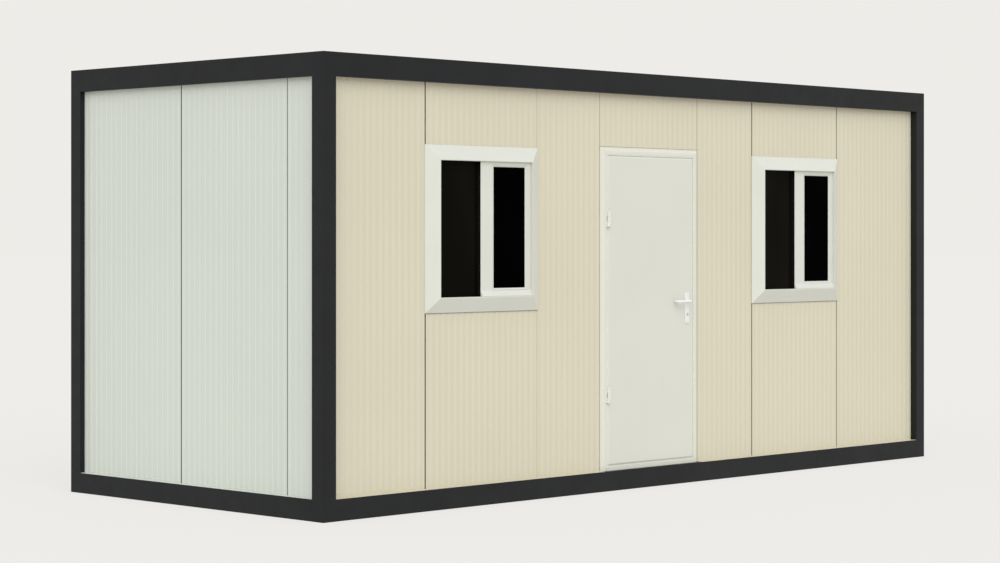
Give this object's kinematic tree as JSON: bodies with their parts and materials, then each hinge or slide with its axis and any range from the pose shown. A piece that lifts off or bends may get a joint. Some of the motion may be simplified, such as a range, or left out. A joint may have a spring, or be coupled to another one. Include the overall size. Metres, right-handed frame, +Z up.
{
  "type": "portable site cabin",
  "caption": "Portable site cabin with a charcoal steel frame, cream sandwich-panel walls, a hinged door with a lever handle and splay-trimmed sliding windows beside it.",
  "frame": {"origin": "ground level in the middle of the steel frame's footprint, on the underside of the middle floor joist", "axes": "+X along the length, to the right seen from the door side; +Y from the door wall to the back wall; +Z up"},
  "size_m": [6.055, 2.46, 2.72],
  "materials": {
    "frame_steel": "satin, near-black charcoal paint",
    "joist_steel": "matt grey primer",
    "floor": "matt grey vinyl",
    "ceiling": "matt white",
    "roof": "galvanised grey sheet",
    "side_panels": "satin cream coated sheet with fine upright ribs",
    "end_panels": "satin grey-white coated sheet with fine upright ribs",
    "glass": "dark, clear surface",
    "window_plastic": "satin white",
    "door_frame": "satin white",
    "door_leaf": "satin white",
    "threshold": "satin white",
    "hinges": "satin off-white",
    "handle": "satin white",
    "lock": "satin nickel"
  },
  "bodies": {
    "root": {"corner_post_front_left": "frame_steel", "corner_post_front_right": "frame_steel", "corner_post_back_left": "frame_steel", "corner_post_back_right": "frame_steel", "top_beam_front": "frame_steel", "top_beam_back": "frame_steel", "top_beam_left": "frame_steel", "top_beam_right": "frame_steel", "bottom_beam_front": "frame_steel", "bottom_beam_back": "frame_steel", "bottom_beam_left": "frame_steel", "bottom_beam_right": "frame_steel", "floor_joist_set": "joist_steel", "floor_deck": "floor", "roof_joist_set": "joist_steel", "ceiling_boards": "ceiling", "roof_sheet": "roof", "front_panel_left": "side_panels", "front_panel_window_left": "side_panels", "front_panel_mid_left": "side_panels", "front_panel_over_door": "side_panels", "front_panel_mid_right": "side_panels", "front_panel_window_right": "side_panels", "front_panel_right": "side_panels", "back_wall_panels": "side_panels", "left_end_panels": "end_panels", "right_end_panels": "end_panels", "window_left_trim": "window_plastic", "window_left_frame": "window_plastic", "window_left_sash": "window_plastic", "window_left_glass": "glass", "window_right_trim": "window_plastic", "window_right_frame": "window_plastic", "window_right_sash": "window_plastic", "window_right_glass": "glass", "door_frame": "door_frame", "door_threshold": "threshold", "hinge_frame_halves": "hinges"},
    "door": {"door_leaf": "door_leaf", "hinge_door_halves": "hinges", "handle_plates": "handle", "lock_cylinder": "lock"},
    "lever": {"door_lever": "handle"}
  },
  "joints": [
    {"name": "door_swing", "type": "hinge", "parent": "root", "child": "door", "pos_m": [-0.524, -1.1985, 1.168], "axis": [0, 0, -1], "range_deg": [0, 165]},
    {"name": "lever_turn", "type": "hinge", "parent": "door", "child": "lever", "pos_m": [0.2775, -1.1655, 1.215], "axis": [0, -1, 0], "range_deg": [0, 45], "stiffness_Nm_per_rad": 2, "springref_deg": -34.38}
  ]
}
